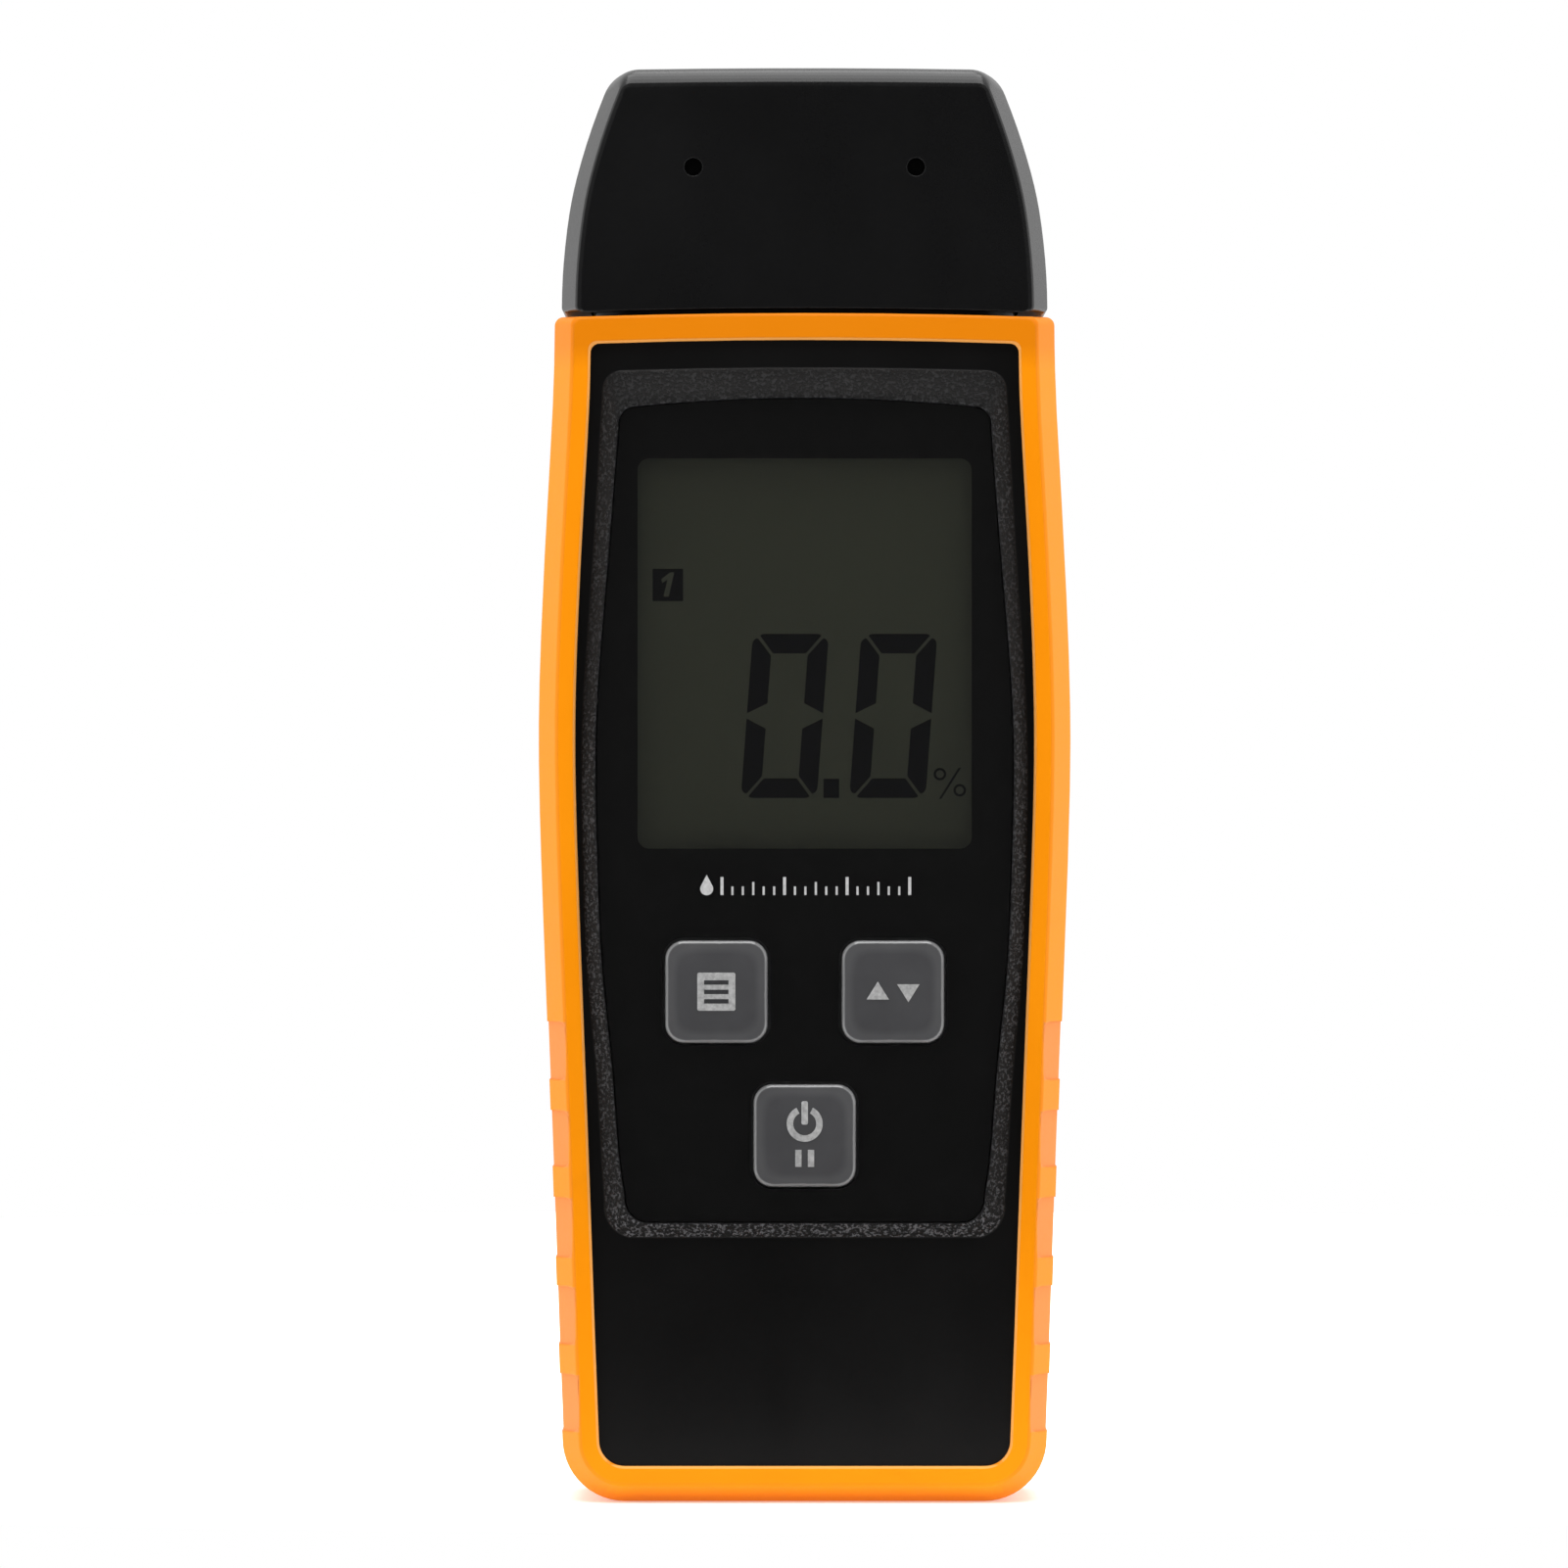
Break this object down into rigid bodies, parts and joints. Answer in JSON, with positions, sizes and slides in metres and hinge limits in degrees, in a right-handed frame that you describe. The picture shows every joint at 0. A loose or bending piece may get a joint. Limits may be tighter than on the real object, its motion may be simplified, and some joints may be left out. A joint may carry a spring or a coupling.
{
  "type": "two_pin_moisture_meter",
  "caption": "Handheld pin moisture meter for wood and screed, black shell in an orange surround, large display, three keys, pull-off pin cap",
  "frame": {"origin": "centre of the base footprint, on the ground under the foot", "axes": "+Z runs along the meter to the capped pins, the display faces -Y, X is the width"},
  "size_m": [0.0594, 0.028, 0.16],
  "materials": {
    "orange_tpe": "satin soft-touch overmould",
    "black_abs": "fine spark-eroded texture",
    "cap_black": "fine spark-eroded texture, slightly smoother than the body",
    "lens_acrylic": "polished clear acrylic",
    "mask_black": "printed black film",
    "frame_white": "moulded white nylon",
    "lcd_film": "dark reflective display film",
    "lcd_glass": "thin float glass",
    "light_guide": "milky light guide",
    "led_body": "white LED body",
    "conductive_rubber": "carbon-loaded rubber",
    "solder_mask": "green solder mask",
    "chip_black": "moulded epoxy",
    "ceramic": "ceramic with tinned ends",
    "can_aluminium": "drawn can",
    "trimmer_blue": "blue moulded body",
    "screw_steel": "zinc-plated steel",
    "key_grey": "smooth domed rubberised plastic",
    "key_rubber": "silicone",
    "brass": "turned brass",
    "pin_steel": "hardened and ground steel",
    "contact_metal": "nickel-plated spring metal",
    "resistor_body": "lacquered body",
    "cell_wrap": "printed film sleeve",
    "label_silver": "printed polyester label"
  },
  "bodies": {
    "meter": {"front_bumper": "orange_tpe", "rear_bumper": "orange_tpe", "front_case": "black_abs", "rear_case": "black_abs", "sensor_head": "black_abs", "display_lens": "lens_acrylic", "lens_mask": "mask_black", "lcd_frame": "frame_white", "lcd_polarizers": "lcd_film", "lcd_front_glass": "lcd_glass", "lcd_rear_glass": "lcd_glass", "light_guide": "light_guide", "backlight_led": "led_body", "zebra_strip": "conductive_rubber", "main_pcb": "solder_mask", "processor_chip": "chip_black", "amplifier_chip": "chip_black", "chip_capacitors": "ceramic", "reservoir_capacitor": "can_aluminium", "timing_crystal": "can_aluminium", "trimmer": "trimmer_blue", "pcb_screws": "screw_steel", "case_screws": "screw_steel", "keypad_mat": "key_rubber", "pin_sockets": "brass", "electrode_pin_left": "pin_steel", "electrode_pin_right": "pin_steel", "pin_leads": "contact_metal", "battery_left": "cell_wrap", "battery_middle": "cell_wrap", "battery_right": "cell_wrap", "battery_springs": "contact_metal", "battery_links": "contact_metal", "battery_terminals": "contact_metal", "rating_label": "label_silver"},
    "cap": {"protective_cap": "cap_black", "check_contacts": "contact_metal", "check_resistor": "resistor_body"},
    "mode_key": {"key_mode": "key_grey", "plunger_mode": "key_rubber", "pill_mode": "conductive_rubber"},
    "set_key": {"key_set": "key_grey", "plunger_set": "key_rubber", "pill_set": "conductive_rubber"},
    "power_key": {"key_power": "key_grey", "plunger_power": "key_rubber", "pill_power": "conductive_rubber"},
    "door": {"battery_door": "black_abs"}
  },
  "joints": [
    {"name": "cap_slide", "type": "slide", "parent": "meter", "child": "cap", "axis": [0, 0, 1], "range_m": [0, 0.045]},
    {"name": "mode_press", "type": "slide", "parent": "meter", "child": "mode_key", "axis": [0, 1, 0], "range_m": [0, 0.0009], "stiffness_N_per_m": 220},
    {"name": "set_press", "type": "slide", "parent": "meter", "child": "set_key", "axis": [0, 1, 0], "range_m": [0, 0.0009], "stiffness_N_per_m": 220},
    {"name": "power_press", "type": "slide", "parent": "meter", "child": "power_key", "axis": [0, 1, 0], "range_m": [0, 0.0009], "stiffness_N_per_m": 220},
    {"name": "battery_door_hinge", "type": "hinge", "parent": "meter", "child": "door", "pos_m": [0, 0.014, 0.0575], "axis": [1, 0, 0], "range_deg": [0, 100]}
  ]
}
